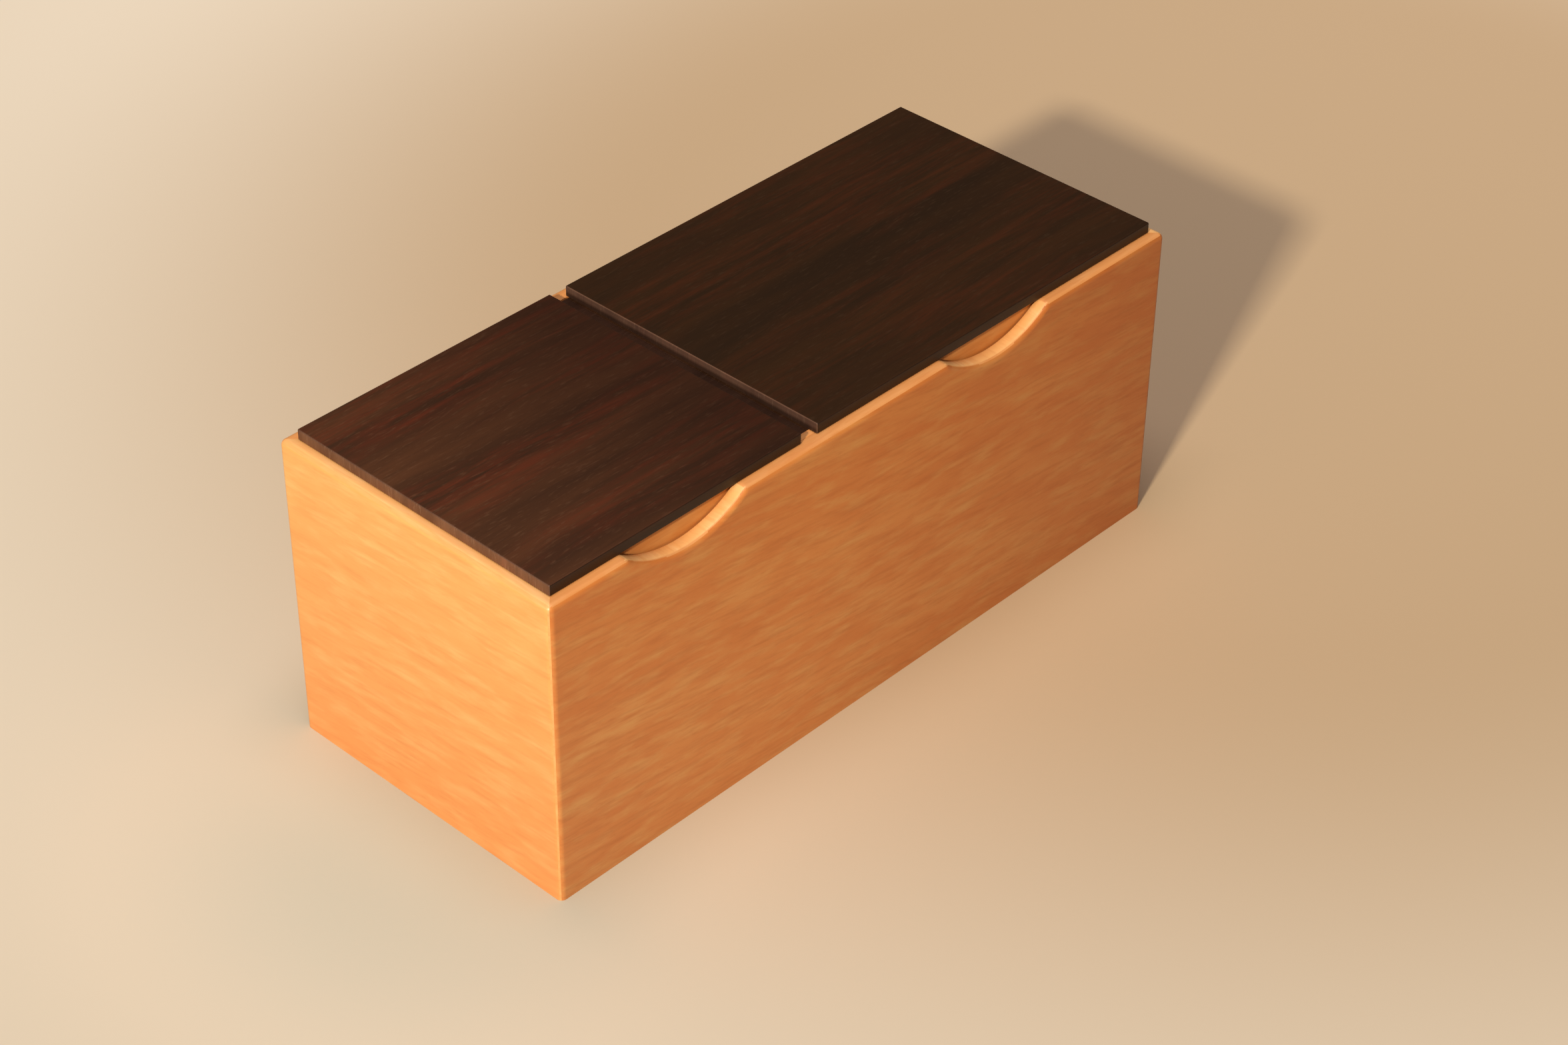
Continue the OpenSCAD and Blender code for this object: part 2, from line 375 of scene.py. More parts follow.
lips += [grooved_lip("small_lid_inner_lip", 1), grooved_lip("large_lid_inner_lip", -1)]
print("groove at", round(PIN_HEIGHT / MM, 1), "mm, height", round(2 * GROOVE_HALF / MM, 1), "mm")

# %% [markdown]
# ## The divider
#
# Only this board has round holes in it. Its CAD mesh already has the bores, the rebate for the dark
# strip and the tongues that go into the walls, so a copy of that mesh is merged, its flat faces are
# joined up, and a Bevel modifier eases its edges.

# %% Ease the divider's edges
DIVIDER_EASE = 0.25 * MM
FLAT = math.radians(2)       # triangles that meet at less than this are one face
CORNER = math.radians(40)    # edges that turn by more than this are eased


def eased_copy(node, ease):
    """A copy of a CAD node's mesh with its coplanar triangles joined and its edges over 40 degrees
    bevelled."""
    mesh = frame["nodes"][node].data.copy()
    work = bmesh.new()
    work.from_mesh(mesh)
    bmesh.ops.remove_doubles(work, verts=work.verts, dist=0.001 * MM)
    bmesh.ops.dissolve_limit(work, angle_limit=FLAT, verts=work.verts, edges=work.edges)
    work.to_mesh(mesh)
    work.free()
    points = np.empty(len(mesh.vertices) * 3, np.float32)
    mesh.vertices.foreach_get("co", points)
    faces = [list(face.vertices) for face in mesh.polygons]
    piece = make_piece(f"{node}-board", points.reshape(-1, 3), faces, node)
    bevel = piece.modifiers.new("ease", "BEVEL")
    bevel.width = ease
    bevel.segments = 2
    bevel.limit_method = "ANGLE"
    bevel.angle_limit = CORNER
    return piece


divider = eased_copy("divider", DIVIDER_EASE)
print(divider.name, len(divider.data.polygons), "faces before the bevel")

# %% [markdown]
# ## Pins, collars and bushings
#
# Everything of brass was turned on a lathe, so each piece is a profile spun about the pin's axis. A
# profile is a list of places along the axis and radii: an open one with its ends on the axis for a
# pin, and a loop for a ring.

# %% Spin a profile
SPIN_STEPS = 64


def spun(name, profiles, node, y):
    """Spins profiles about the line along x at depth y and the pins' height: a point at radius r
    and turn t goes to (x, y + r cos t, z + r sin t). Points on the axis merge into one."""
    turns = np.linspace(0, 2 * math.pi, SPIN_STEPS, endpoint=False)
    points = []
    faces = []
    for profile in profiles:
        along, radius = np.array(profile).T
        across = np.cos(turns)[None, :] * radius[:, None]
        upward = np.sin(turns)[None, :] * radius[:, None]
        x = np.broadcast_to(along[:, None], across.shape)
        faces.append(grid_faces(*across.shape, start=sum(len(p) for p in points), closed=True))
        points.append(np.stack([x, y + across, PIN_HEIGHT + upward], axis=-1).reshape(-1, 3))
    return make_piece(name, np.concatenate(points), np.concatenate(faces), node)


print("a turn is", SPIN_STEPS, "steps")


# %% Profiles of the turned pieces
TIP = PIN_RADIUS / 4     # chamfer at each end of a pin
DIMPLE = 0.25 * MM       # radius and depth of the dimple in each end
BREAK = 0.12 * MM        # chamfer that breaks the edges of a ring
HAIR = 0.02 * MM         # how far a collar stops short of the bushing that it comes to rest on


def pin_profile(low, high, radius):
    """A pin from low to high. Its chamfered ends carry a shallow dimple from the lathe's centre."""
    tip = [(low + DIMPLE, 0), (low, DIMPLE), (low, radius - TIP)]
    tip += [(low + 0.2 * DIMPLE, radius - TIP), (low + TIP, radius)]
    return tip + [(low + high - along, r) for along, r in tip[::-1]]


def ring_profile(low, high, inner, outer):
    """A ring's section as a closed loop: a rectangle with its four edges broken."""
    loop = [(low, inner + BREAK), (low, outer - BREAK), (low + BREAK, outer), (high - BREAK, outer),
            (high, outer - BREAK), (high, inner + BREAK), (high - BREAK, inner), (low + BREAK, inner)]
    return loop + loop[:1]


print("a pin's profile has", len(pin_profile(pin_low.x, pin_high.x, PIN_RADIUS)), "points")


# %% Turn the brass pieces
BUSHING_THICK = 2 * MM
PIN_PLAY = 0.05 * MM
brass_pieces = []
for side in ("front", "back"):
    low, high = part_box(f"{side}_lock_pin")
    depth = (low.y + high.y) / 2
    pin = pin_profile(low.x, high.x, PIN_RADIUS)
    brass_pieces.append(spun(f"{side}-lock-pin", [pin], f"{side}_lock_pin", depth))
    low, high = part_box(f"{side}_pin_collar")
    collar = ring_profile(low.x + HAIR, high.x - HAIR, PIN_RADIUS, (high.z - low.z) / 2)
    brass_pieces.append(spun(f"{side}-pin-collar", [collar], f"{side}_pin_collar", depth))
    low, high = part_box(f"{side}_pin_bushings")
    bore, outside = PIN_RADIUS + PIN_PLAY, (high.z - low.z) / 2
    pair = [ring_profile(low.x, low.x + BUSHING_THICK, bore, outside),
            ring_profile(high.x - BUSHING_THICK, high.x, bore, outside)]
    brass_pieces.append(spun(f"{side}-pin-bushings", pair, f"{side}_pin_bushings", depth))
print(len(brass_pieces), "turned pieces")


# %% [markdown]
# ## Building a material from nodes
#
# Wood is a solid material: the same three-dimensional pattern shows along the grain on a board's
# face and as dots on its end. So every wood here is a pattern in space, read with Object
# coordinates in millimetres and turned until its x runs along the grain. Nothing is painted on a
# surface, and no UV map is needed.

# %% Colours and nodes
def linear(hex_colour):
    """An sRGB hex colour as linear RGBA."""
    values = [int(hex_colour[i:i + 2], 16) / 255 for i in (1, 3, 5)]
    return [v / 12.92 if v <= 0.04045 else ((v + 0.055) / 1.055) ** 2.4 for v in values] + [1.0]


def add(tree, kind, inputs=None, stops=None, **settings):
    """Adds a node. inputs maps a socket's name or number to a value or to another node's output,
    and stops are a colour ramp's (place, value) pairs."""
    made = tree.nodes.new(kind)
    for name, value in settings.items():
        setattr(made, name, value)
    for key, value in (inputs or {}).items():
        if isinstance(value, bpy.types.NodeSocket):
            tree.links.new(value, made.inputs[key])
        else:
            made.inputs[key].default_value = value
    for index, (place, value) in enumerate(stops or []):
        stop = made.color_ramp.elements[index] if index < 2 else made.color_ramp.elements.new(place)
        stop.position = place
        stop.color = (value, value, value, 1)
    return made


def new_material(name):
    """A material with an empty node tree, its shader and its output."""
    material = bpy.data.materials.new(name)
    material.use_nodes = True
    tree = material.node_tree
    tree.nodes.clear()
    shader = add(tree, "ShaderNodeBsdfPrincipled")
    add(tree, "ShaderNodeOutputMaterial", {"Surface": shader.outputs["BSDF"]})
    return material, tree, shader


print("#808080 is", round(linear("#808080")[0], 3), "in linear light")


# %% Grain
WANDER = 6.0                         # mm between the grain's farthest strays to either side
WANDER_SCALE = (0.011, 0.03, 0.03)   # one swing in about 90 mm along the grain and 33 mm across it


def grain_space(tree, turn, place):
    """Millimetres with x along the grain. A slow noise pushes the grain sideways, because no tree
    grows quite straight."""
    space = add(tree, "ShaderNodeTexCoord").outputs["Object"]
    space = add(tree, "ShaderNodeMapping", {
        "Vector": space, "Scale": (1000, 1000, 1000), "Location": place,
        "Rotation": [math.radians(angle) for angle in turn]
    }).outputs["Vector"]
    slow = add(tree, "ShaderNodeVectorMath", {0: space, 1: WANDER_SCALE}, operation="MULTIPLY").outputs[0]
    noise = add(tree, "ShaderNodeTexNoise", {"Vector": slow, "Scale": 1.0, "Detail": 2.0}).outputs["Color"]
    middle = (0.5, 0.5, 0.5)
    swing = add(tree, "ShaderNodeVectorMath", {0: noise, 1: middle}, operation="SUBTRACT").outputs[0]
    push = {0: swing, 1: (0, WANDER, WANDER)}
    push = add(tree, "ShaderNodeVectorMath", push, operation="MULTIPLY").outputs[0]
    return add(tree, "ShaderNodeVectorMath", {0: space, 1: push}, operation="ADD").outputs[0]


def grain_layer(tree, space, length, width, stops, detail=3.0, rough=0.55, shift=0.0):
    """A noise whose features are about length mm along the grain and width mm across it, as a mask
    between stops."""
    stretched = add(tree, "ShaderNodeVectorMath", {
        0: space, 1: (1 / length, 1 / width, 1 / width), 2: (shift, shift, shift)
    }, operation="MULTIPLY_ADD").outputs[0]
    noise = add(tree, "ShaderNodeTexNoise", {
        "Vector": stretched, "Scale": 1.0, "Detail": detail, "Roughness": rough
    }).outputs["Fac"]
    return add(tree, "ShaderNodeValToRGB", {"Fac": noise}, stops=stops).outputs["Color"]


def layered(tree, ground, *layers, mode="MIX"):
    """Lays colours over a ground, one after another. Each layer is a (colour, mask) pair."""
    for colour, mask in layers:
        ground = add(tree, "ShaderNodeMix", {
            "Factor": mask, 6: ground, 7: linear(colour)
        }, data_type="RGBA", blend_type=mode).outputs[2]
    return ground


def deepened(tree, space, colour, changes):
    """Multiplies a colour by a tone, little by little. A change is (start, end, tone) in mm of the
    grain's own space, whose x runs along the grain, with "Z" after them for one that goes up the
    board instead."""
    for start, end, tone, *axis in changes:
        along = add(tree, "ShaderNodeSeparateXYZ", {0: space}).outputs[axis[0] if axis else "X"]
        amount = add(tree, "ShaderNodeMapRange", {"Value": along, "From Min": start, "From Max": end})
        colour = layered(tree, colour, (tone, amount.outputs["Result"]), mode="MULTIPLY")
    return colour


print("the grain strays up to", WANDER / 2, "mm to either side")

# %% [markdown]
# ## The light hardwood
#
# Cherry or a similar fine, even wood, planed, sanded and oiled. The eye gets a warm honey ground,
# broad soft bands where the growth rings are cut at a slant, many short reddish streaks a
# millimetre wide, and a scatter of fine dark pores. Oil leaves a satin skin: its IOR is about 1.48,
# and the roughness is near 0.4.

# %% Light hardwood
def light_wood(name, turn, place, ground, band, streak, bright, roughness, deepening=()):
    """Oiled fine-grained hardwood: bands 11 mm wide, mottling 6 mm wide, lights 3 mm wide, streaks
    1.3 mm wide, and pores 0.6 mm wide, drawn a little coarse so that they show."""
    material, tree, shader = new_material(name)
    space = grain_space(tree, turn, place)
    bands = grain_layer(tree, space, 170, 11, [(0.36, 0), (0.66, 0.7)], detail=2.0)
    mottling = grain_layer(tree, space, 18, 6, [(0.42, 0), (0.66, 0.6)], detail=3.0, shift=7.3)
    lights = grain_layer(tree, space, 13, 3, [(0.46, 0), (0.72, 0.65)], detail=4.0, shift=11.7)
    streaks = grain_layer(tree, space, 14, 1.3, [(0.47, 0), (0.77, 0.65)], detail=5.0, rough=0.62,
                          shift=3.1)
    pores = grain_layer(tree, space, 4.0, 0.6, [(0.60, 0), (0.74, 0.3)], detail=2.0, shift=5.9)
    colour = layered(tree, linear(ground), (band, bands), (band, mottling), (bright, lights),
                     (streak, streaks), (streak, pores))
    tree.links.new(deepened(tree, space, colour, deepening), shader.inputs["Base Color"])
    shader.inputs["IOR"].default_value = 1.48
    gloss = {"Value": streaks, "To Min": roughness, "To Max": roughness + 0.1}
    tree.links.new(add(tree, "ShaderNodeMapRange", gloss).outputs["Result"], shader.inputs["Roughness"])
    fibres = grain_layer(tree, space, 9, 0.45, [(0.3, 1), (0.7, 0)], detail=3.0, shift=1.7)
    relief = add(tree, "ShaderNodeBump", {"Height": fibres, "Strength": 0.35, "Distance": 0.03 * MM})
    tree.links.new(relief.outputs["Normal"], shader.inputs["Normal"])
    return material


# %% The light boards
HONEY = dict(ground="#DE914F", band="#D47D3D", streak="#C27138", bright="#E0A563", roughness=0.42)
# A lighter, yellower copy of the honey wood for the left end, which faces the lamp: painted light, for how
# brightly the lamp lights that end.
LAMPLIT_HONEY = dict(ground="#EDB067", band="#E9A45B", streak="#DD9652", bright="#F1C07A", roughness=0.42)
# Lighter copies of the honey wood for the faces that look up, the tops and the notches: painted light from
# above.
PLANED_TOPLIT = dict(ground="#E39A58", band="#DE8F4D", streak="#D28244", bright="#EAA86A", roughness=0.5)
CUT_TOPLIT = dict(ground="#F3B56F", band="#EEA963", streak="#E29A58", bright="#F7C284", roughness=0.5)
# A paler, glossier copy for the end boards' rounded corners: a painted highlight where the edges catch the
# lamp.
ARRIS_HIGHLIGHT = dict(ground="#EDAD6C", band="#E8A360", streak="#DC9353", bright="#F1BC7E", roughness=0.38)
BARE = dict(ground="#E0964F", band="#D98943", streak="#C8783B", bright="#E8AA68", roughness=0.55)
# The front board's grain falls 6 degrees to the right, and the end board's rises 5 degrees to the
# front. The front board is deeper in tone to the right: painted shade, for the lamp's light fading
# along the box. It is also a little darker and yellower to the top. The left end board is a little
# redder to the bottom.
front_oiled = light_wood("oiled_cherry_front", (0, -6, 0), (0, 0, 0), **HONEY, deepening=[
    (-30, 112, "#DCCDC3"), (35, 90, "#F9EDD7", "Z")
])
back_oiled = light_wood("oiled_cherry_back", (0, 3, 0), (0, 90, 40), **HONEY)
# The left end takes the lighter copy: painted light from the lamp.
left_oiled = light_wood("lamplit_oiled_cherry_left_end", (5, 0, 90), (70, 0, 15), **LAMPLIT_HONEY, deepening=[
    (100, 15, "#FFE6E4", "Z")
])
right_oiled = light_wood("oiled_cherry_right_end", (-4, 0, 90), (200, 33, 80), **HONEY)
edge_planed_toplit = light_wood("planed_toplit_cherry_edge", (0, 0, 0), (60, 20, 50), **PLANED_TOPLIT)
edge_cut_toplit = light_wood("cut_toplit_cherry_edge", (0, 0, 90), (35, 50, 30), **CUT_TOPLIT)
edge_highlight = light_wood("highlit_cherry_arris", (0, 0, 90), (10, 40, 10), **ARRIS_HIGHLIGHT)
bare_along = light_wood("sanded_cherry_along", (0, 0, 0), (15, 60, 20), **BARE)
bare_across = light_wood("sanded_cherry_across", (0, 0, 90), (25, 10, 70), **BARE)
light_woods = (front_oiled, back_oiled, left_oiled, right_oiled, edge_planed_toplit, edge_cut_toplit, edge_highlight,
               bare_along, bare_across)
print("light woods:", [wood.name for wood in light_woods])

# %% [markdown]
# ## The dark lids
#
# Rosewood, sanded very fine and waxed. It is almost black-brown, with rust-red streaks along the
# board and open pores that catch the light as short pale dashes. Where it is cut across, on the two
# narrow edges, the wood takes less wax and looks paler.

# %% Rosewood
def rosewood(name, place, ground, night, red, pale, redness, roughness=0.38, turn=(0, 0, 0), deepening=()):
    """Waxed rosewood: dark bands 12 mm wide, red streaks 2.4 mm wide and 30 mm long that come in
    zones 16 mm wide, dark lines 0.9 mm wide, and pale pores 0.6 mm wide, drawn a little coarse so
    that they show."""
    material, tree, shader = new_material(name)
    space = grain_space(tree, turn, place)
    bands = grain_layer(tree, space, 150, 12, [(0.38, 0), (0.62, 0.85)], detail=3.0)
    zones = grain_layer(tree, space, 90, 16, [(0.40, 0), (0.60, 1)], detail=2.0, shift=4.4)
    reds = grain_layer(tree, space, 30, 2.4, [(0.42, 0), (0.76, redness)], detail=4.0, rough=0.62,
                       shift=2.3)
    reds = add(tree, "ShaderNodeMath", {0: reds, 1: zones}, operation="MULTIPLY").outputs[0]
    lines = grain_layer(tree, space, 17, 0.9, [(0.50, 0), (0.72, 0.45)], detail=4.0, shift=8.8)
    dashes = grain_layer(tree, space, 3.6, 0.6, [(0.56, 0), (0.76, 0.4)], detail=3.0, shift=9.9)
    colour = layered(tree, linear(ground), (night, bands), (red, reds), (night, lines), (pale, dashes))
    tree.links.new(deepened(tree, space, colour, deepening), shader.inputs["Base Color"])
    shader.inputs["IOR"].default_value = 1.48
    shader.inputs["Specular IOR Level"].default_value = 0.28
    shader.inputs["Roughness"].default_value = roughness
    relief = {"Height": dashes, "Strength": 0.5, "Distance": 0.04 * MM}
    relief = add(tree, "ShaderNodeBump", relief, invert=True)
    tree.links.new(relief.outputs["Normal"], shader.inputs["Normal"])
    return material


# %% The dark boards
SMALL = dict(ground="#54321E", night="#3A2316", red="#752F1A", pale="#6E4C36", redness=0.62)
LARGE = dict(ground="#351F0E", night="#27180C", red="#4F230F", pale="#443020", redness=0.62)
# A darker copy for the lids' long edges: painted shade, against the light that the honey wall tops throw up
# on them.
SHADED_SIDES = dict(ground="#2D1A10", night="#23140C", red="#3B1C0F", pale="#3C291B", redness=0.6)
LIT_END = dict(ground="#75503A", night="#5C3A29", red="#85533D", pale="#9A7660", redness=0.8, roughness=0.5)
DIM_END = dict(ground="#5A4034", night="#473028", red="#634236", pale="#73594C", redness=0.8, roughness=0.5)
# A paler copy for the lids' rounded end corners: a painted highlight where those edges catch the lamp.
LID_ARRIS_HIGHLIGHT = dict(ground="#664838", night="#553A2C", red="#6E4C3C", pale="#7C5F4C", redness=0.5, roughness=0.45)
STRIP = dict(ground="#492E1F", night="#382216", red="#55301F", pale="#634734", redness=0.7)
UPRIGHT = (0, 90, 0)
# The small lid is darker toward the gap. The large lid's ends take DIM_END, a shaded copy of the
# end grain, and are darker still below: painted shade, where the small lid shades the end across
# the gap.
small_waxed = rosewood("waxed_rosewood_small_lid", (0, 0, 0), **SMALL, deepening=[
    (-103, -30, "#B4AEAE")
])
large_waxed = rosewood("waxed_rosewood_large_lid", (300, 48, 0), **LARGE)
side_shaded = rosewood("shaded_rosewood_long_edge", (0, 0, 30), **SHADED_SIDES)
small_end_waxed = rosewood("waxed_rosewood_small_end_grain", (0, 0, 0), **LIT_END, turn=UPRIGHT)
# Painted shade in the lower part of the end, from the small lid across the gap.
large_end_waxed = rosewood("waxed_rosewood_large_end_grain", (0, 0, 0), **DIM_END, turn=UPRIGHT,
                           deepening=[(87.3, 86.5, "#A09890")])
lid_edge_highlight = rosewood("highlit_rosewood_arris", (0, 0, 0), **LID_ARRIS_HIGHLIGHT, turn=UPRIGHT)
inlay_waxed = rosewood("waxed_rosewood_inlay", (90, 20, 60), **STRIP)
dark_woods = (small_waxed, large_waxed, side_shaded, small_end_waxed, large_end_waxed, lid_edge_highlight,
              inlay_waxed)
print("dark woods:", [wood.name for wood in dark_woods])

# %% [markdown]
# ## Brass
#
# Turned and left bright. Brass is a metal with a yellow reflection, and a lathe leaves fine rings
# around its axis, which blur the reflection a little more across the rings than along them.

# %% Turned brass
RING_SCALE = (3300, 180, 180)        # per metre: a mark each 0.3 mm, unbroken for 5.5 mm around the pin


def turned_brass(name):
    """Bright brass with fine turning marks, drawn every 0.3 mm so that they show."""
    material, tree, shader = new_material(name)
    space = add(tree, "ShaderNodeTexCoord").outputs["Object"]
    space = add(tree, "ShaderNodeVectorMath", {0: space, 1: RING_SCALE}, operation="MULTIPLY").outputs[0]
    rings = add(tree, "ShaderNodeTexNoise", {"Vector": space, "Scale": 1.0, "Detail": 2.0}).outputs["Fac"]
    tree.links.new(layered(tree, linear("#D9B15C"), ("#C79A45", rings)), shader.inputs["Base Color"])
    shader.inputs["Metallic"].default_value = 1.0
    gloss = add(tree, "ShaderNodeMapRange", {"Value": rings, "To Min": 0.2, "To Max": 0.36})
    tree.links.new(gloss.outputs["Result"], shader.inputs["Roughness"])
    relief = add(tree, "ShaderNodeBump", {"Height": rings, "Strength": 0.3, "Distance": 0.01 * MM})
    tree.links.new(relief.outputs["Normal"], shader.inputs["Normal"])
    return material


brass = turned_brass("turned_brass")
print(brass.name)


# %% Dress the pieces
def face_vectors(piece, kind):
    """The normals (kind "normal") or middles (kind "center") of a piece's faces, as (n, 3)."""
    values = np.empty(len(piece.data.polygons) * 3, np.float32)
    piece.data.polygons.foreach_get(kind, values)
    return values.reshape(-1, 3)


def dress(piece, material, *others):
    """Gives a piece its material. Each other one is a (material, mask) pair and goes on the faces
    in its mask."""
    piece.data.materials.clear()
    piece.data.materials.append(material)
    index = np.zeros(len(piece.data.polygons), np.int32)
    for number, (other, mask) in enumerate(others, start=1):
        piece.data.materials.append(other)
        index[mask] = number
    piece.data.polygons.foreach_set("material_index", index)


def slanting(normals, first, second):
    """Which faces look well along each of two axes, as those in the middle of a rounded edge do."""
    return (np.abs(normals[:, first]) > 0.45) & (np.abs(normals[:, second]) > 0.45)


# %% Walls: oiled faces, tops and notches painted lighter for the light from above, painted highlights on the ends' rounded corners
TOP_EDGE = 0.75          # least upward part of a face's normal in a top edge
NOTCH_SLOPE = 0.3        # the same in a notch, which is steep at its ends
NOTCH_ROUNDING = 0.4     # most that a notch's faces look to the front or back
# Faces that look up take the lighter copies: painted light from above on the tops and in the notches.
for piece, oiled in ((front_wall, front_oiled), (back_wall, back_oiled)):
    normals = face_vectors(piece, "normal")
    lowered = face_vectors(piece, "center")[:, 2] < WALL_TOP - 0.2 * MM
    notch = lowered & (np.abs(normals[:, 1]) < NOTCH_ROUNDING) & (normals[:, 2] > NOTCH_SLOPE)
    dress(piece, oiled, (edge_planed_toplit, normals[:, 2] > TOP_EDGE), (edge_cut_toplit, notch))
for piece, oiled in ((left_end, left_oiled), (right_end, right_oiled)):
    normals = face_vectors(piece, "normal")
    # The end boards' rounded corners take the paler copy: a painted highlight along the edges that catch the
    # lamp.
    highlit = slanting(normals, 0, 1) | slanting(normals, 0, 2)
    dress(piece, oiled, (edge_cut_toplit, normals[:, 2] > TOP_EDGE), (edge_highlight, highlit))
    print(piece.name, "has", int(highlit.sum()), "worn faces")

# %% Lids, with the ends of their grain, and everything inside
SIDE = 0.7               # least part of a face's normal along an axis on a side that faces that way
lids = [(small_lid, small_waxed, small_end_waxed), (large_lid, large_waxed, large_end_waxed)]
for piece, waxed, end_waxed in lids:
    normals = face_vectors(piece, "normal")
    long_edge, end = (np.abs(normals[:, axis]) > SIDE for axis in (1, 0))
    # The rounded end corners take the paler copy: a painted highlight.
    lid_highlit = slanting(normals, 0, 2) | slanting(normals, 0, 1)
    dress(piece, waxed, (side_shaded, long_edge), (end_waxed, end), (lid_edge_highlight, lid_highlit))
dress(inlay, inlay_waxed)
dress(panel, bare_along)
# The divider's top takes the lighter planed wood: painted light on a strip that lies in the lids' shade.
faces_up = face_vectors(divider, "normal")[:, 2] > 0.9
dress(divider, bare_across, (edge_planed_toplit, faces_up))
for lip in lips:
    dress(lip, bare_across if "outer" in lip.name or "inner" in lip.name else bare_along)
for piece in brass_pieces:
    dress(piece, brass)
print(len(bpy.data.materials), "materials")

# %% [markdown]
# ## Floor, light and camera
#
# The box stands on a plain pale floor. One small warm lamp, to the left and a little in front,
# gives the bright end, the half-lit front and the shadow to the right. It stands about 1.7 m off,
# near enough for its light to fade a little along the box, as the light of a window does. A large
# cool lamp high above and a weak warm world fill the shadows.

# %% Floor
POOL_MIDDLE = (0.216, 0.006, 0)      # metres, to the right of the box
POOL_RIM = (0.17, 0.41)              # where the tan begins to fade and where it has gone
# Painted shade on the floor beside the lit end: darker close to the box, and cooler against the orange light
# that the end throws there.
END_SHADE_MIDDLE = (-0.118, -0.008, 0)    # beside the lit end
END_SHADE_RIM = (0.08, 0.01)              # where the cooler tone begins and where it is whole
FROM_WINDOW = (1.2, 0.45, 0)         # points away from the window lamp


def around(tree, space, middle, rim):
    """A mask by the distance from a middle: 0 at the rim's first distance, 1 at its second, and
    smooth between."""
    distance = add(tree, "ShaderNodeVectorMath", {0: space, 1: middle}, operation="DISTANCE")
    return add(tree, "ShaderNodeMapRange", {
        "Value": distance.outputs["Value"], "From Min": rim[0], "From Max": rim[1]
    }, interpolation_type="SMOOTHSTEP").outputs["Result"]


def pale_paper(name):
    """Matt backdrop paper, cream with a tan pool around the right of the box. It lightens by about
    a tenth each 0.1 m away from the window, to even out the lamp's fall-off, and beside the lit end
    of the box it has painted shade: darker, and cooler against the orange light that the end throws
    on it."""
    material, tree, shader = new_material(name)
    space = add(tree, "ShaderNodeTexCoord").outputs["Object"]
    tone = layered(tree, linear("#C4A886"), ("#ECDDC7", around(tree, space, POOL_MIDDLE, POOL_RIM)))
    away = add(tree, "ShaderNodeVectorMath", {0: space, 1: FROM_WINDOW}, operation="DOT_PRODUCT")
    gain = add(tree, "ShaderNodeMapRange", {
        "Value": away.outputs["Value"], "From Min": -0.5, "From Max": 0.6, "To Min": 0.55, "To Max": 1.52
    }).outputs["Result"]
    tone = add(tree, "ShaderNodeVectorMath", {0: tone, "Scale": gain}, operation="SCALE").outputs[0]
    tone = layered(tree, tone, ("#E4F1F7", around(tree, space, END_SHADE_MIDDLE, END_SHADE_RIM)), mode="MULTIPLY")
    tree.links.new(tone, shader.inputs["Base Color"])
    shader.inputs["Roughness"].default_value = 0.9
    shader.inputs["Specular IOR Level"].default_value = 0.2
    return material


FLOOR_SIZE = 6.0
FLOOR_DROP = 0.02 * MM   # a hair below the box, so that two faces never share a place
ways = ((-1, -1), (1, -1), (1, 1), (-1, 1))
corners = [(x * FLOOR_SIZE / 2, y * FLOOR_SIZE / 2, -FLOOR_DROP) for x, y in ways]
floor_mesh = bpy.data.meshes.new("floor")
floor_mesh.from_pydata(corners, [], [(0, 1, 2, 3)])
floor = bpy.data.objects.new("floor", floor_mesh)
bpy.context.scene.collection.objects.link(floor)
floor.data.materials.append(pale_paper("pale_paper"))
floor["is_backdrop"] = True
print("floor", FLOOR_SIZE, "m square")


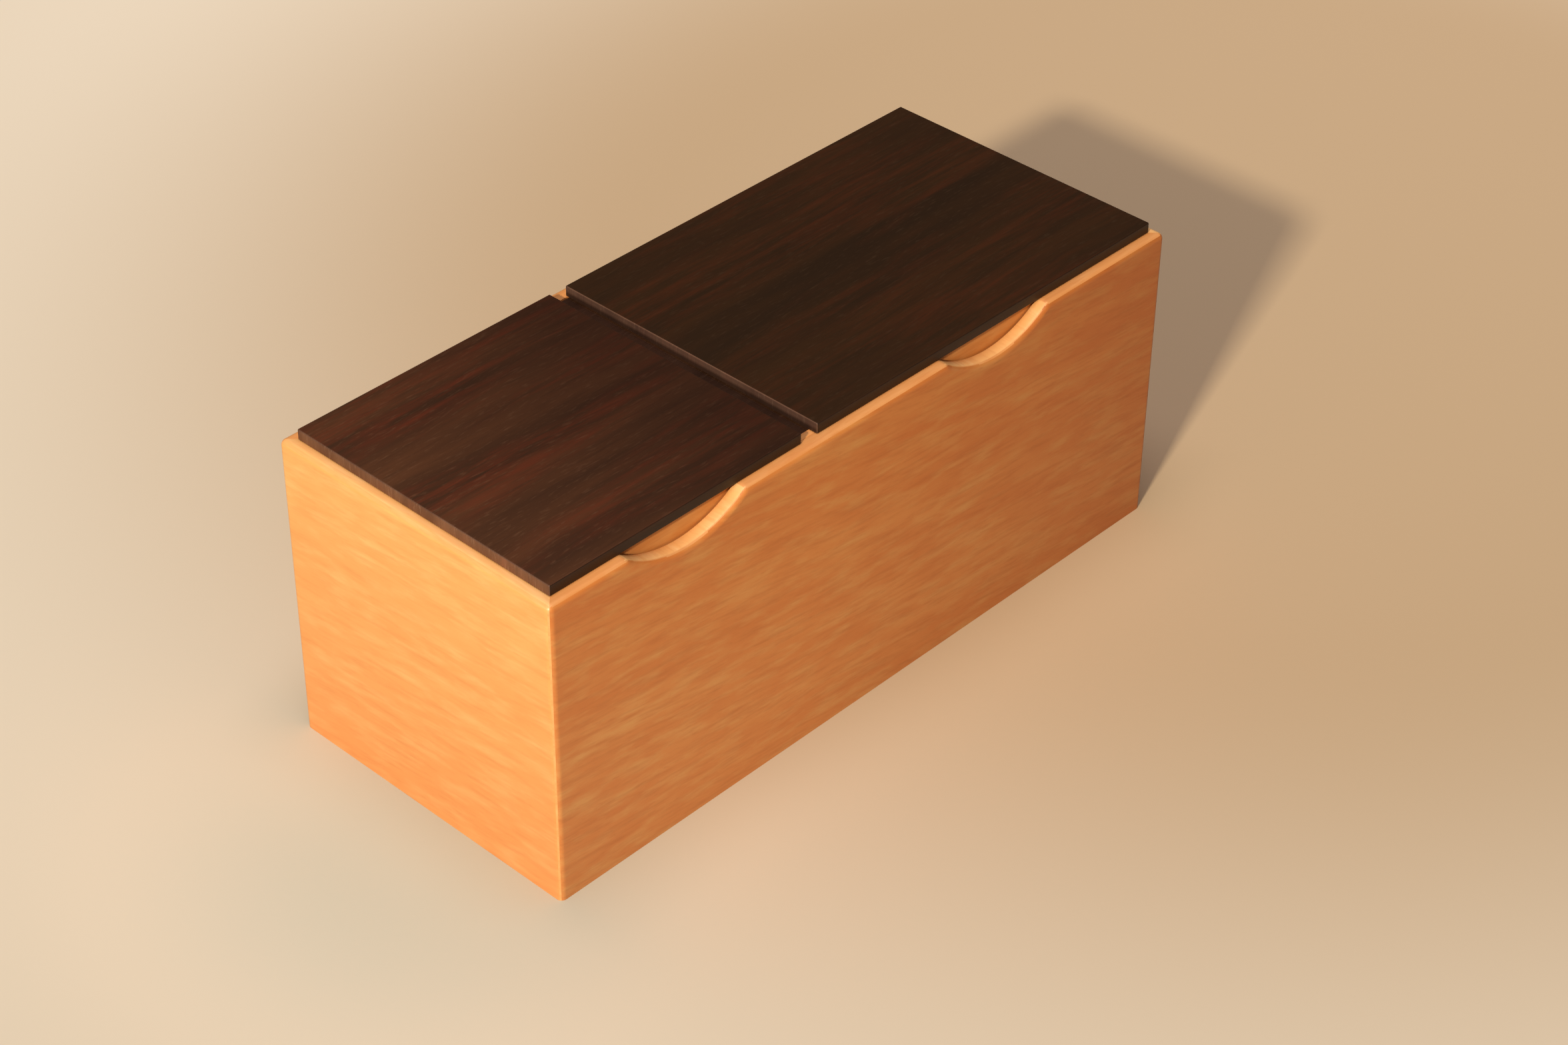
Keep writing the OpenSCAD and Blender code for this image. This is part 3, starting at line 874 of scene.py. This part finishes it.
# %% Light
def lamp(name, place, target, width, height, power, colour):
    """A rectangular area lamp that faces a target, with its width level."""
    light = bpy.data.lights.new(name, "AREA")
    light.shape = "RECTANGLE"
    light.size = width
    light.size_y = height
    light.energy = power
    light.color = colour
    made = bpy.data.objects.new(name, light)
    made.location = place
    made.rotation_euler = (Vector(target) - Vector(place)).to_track_quat("-Z", "Y").to_euler()
    bpy.context.scene.collection.objects.link(made)
    print(name, "lamp", round((Vector(target) - Vector(place)).length, 2), "m off")


lamp("window", place=(-1.36, -0.567, 0.92), target=(0, 0, 0.05), width=0.13, height=0.08,
     power=29.3, colour=(1.0, 0.92, 0.744))
lamp("overhead", place=(-0.2, -0.1, 2.4), target=(0, 0, 0), width=1.2, height=1.2,
     power=27.5, colour=(0.93, 0.92, 1.0))
world = bpy.data.worlds.new("room")
world.use_nodes = True
world.node_tree.nodes["Background"].inputs["Color"].default_value = (1.0, 0.81, 0.59, 1)
world.node_tree.nodes["Background"].inputs["Strength"].default_value = 0.078
bpy.context.scene.world = world
bpy.context.scene.view_settings.view_transform = "Standard"

# %% Camera
CAMERA_PLACE = Vector((-472.7, -455.2, 520.4)) * MM
CAMERA_AZIMUTH = math.radians(-46.99)
CAMERA_ELEVATION = math.radians(36.87)
CAMERA_ROLL = math.radians(0.68)
away = Vector((math.sin(CAMERA_AZIMUTH) * math.cos(CAMERA_ELEVATION),
               -math.cos(CAMERA_AZIMUTH) * math.cos(CAMERA_ELEVATION), math.sin(CAMERA_ELEVATION)))
level = Vector((math.cos(CAMERA_AZIMUTH), math.sin(CAMERA_AZIMUTH), 0))
upright = away.cross(level)
right = level * math.cos(CAMERA_ROLL) + upright * math.sin(CAMERA_ROLL)
up = upright * math.cos(CAMERA_ROLL) - level * math.sin(CAMERA_ROLL)
camera_data = bpy.data.cameras.new("camera")
camera_data.lens = 75.36
camera_data.sensor_width = 36
camera = bpy.data.objects.new("camera", camera_data)
camera.matrix_world = Matrix.Translation(CAMERA_PLACE) @ Matrix((right, up, away)).transposed().to_4x4()
bpy.context.scene.collection.objects.link(camera)
bpy.context.scene.camera = camera
print("camera", round(CAMERA_PLACE.length, 3), "m from the middle of the box's underside")

# %% Sizes, and the end
low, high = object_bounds()
print("visual box in mm:", [round(v / MM, 2) for v in high - low])
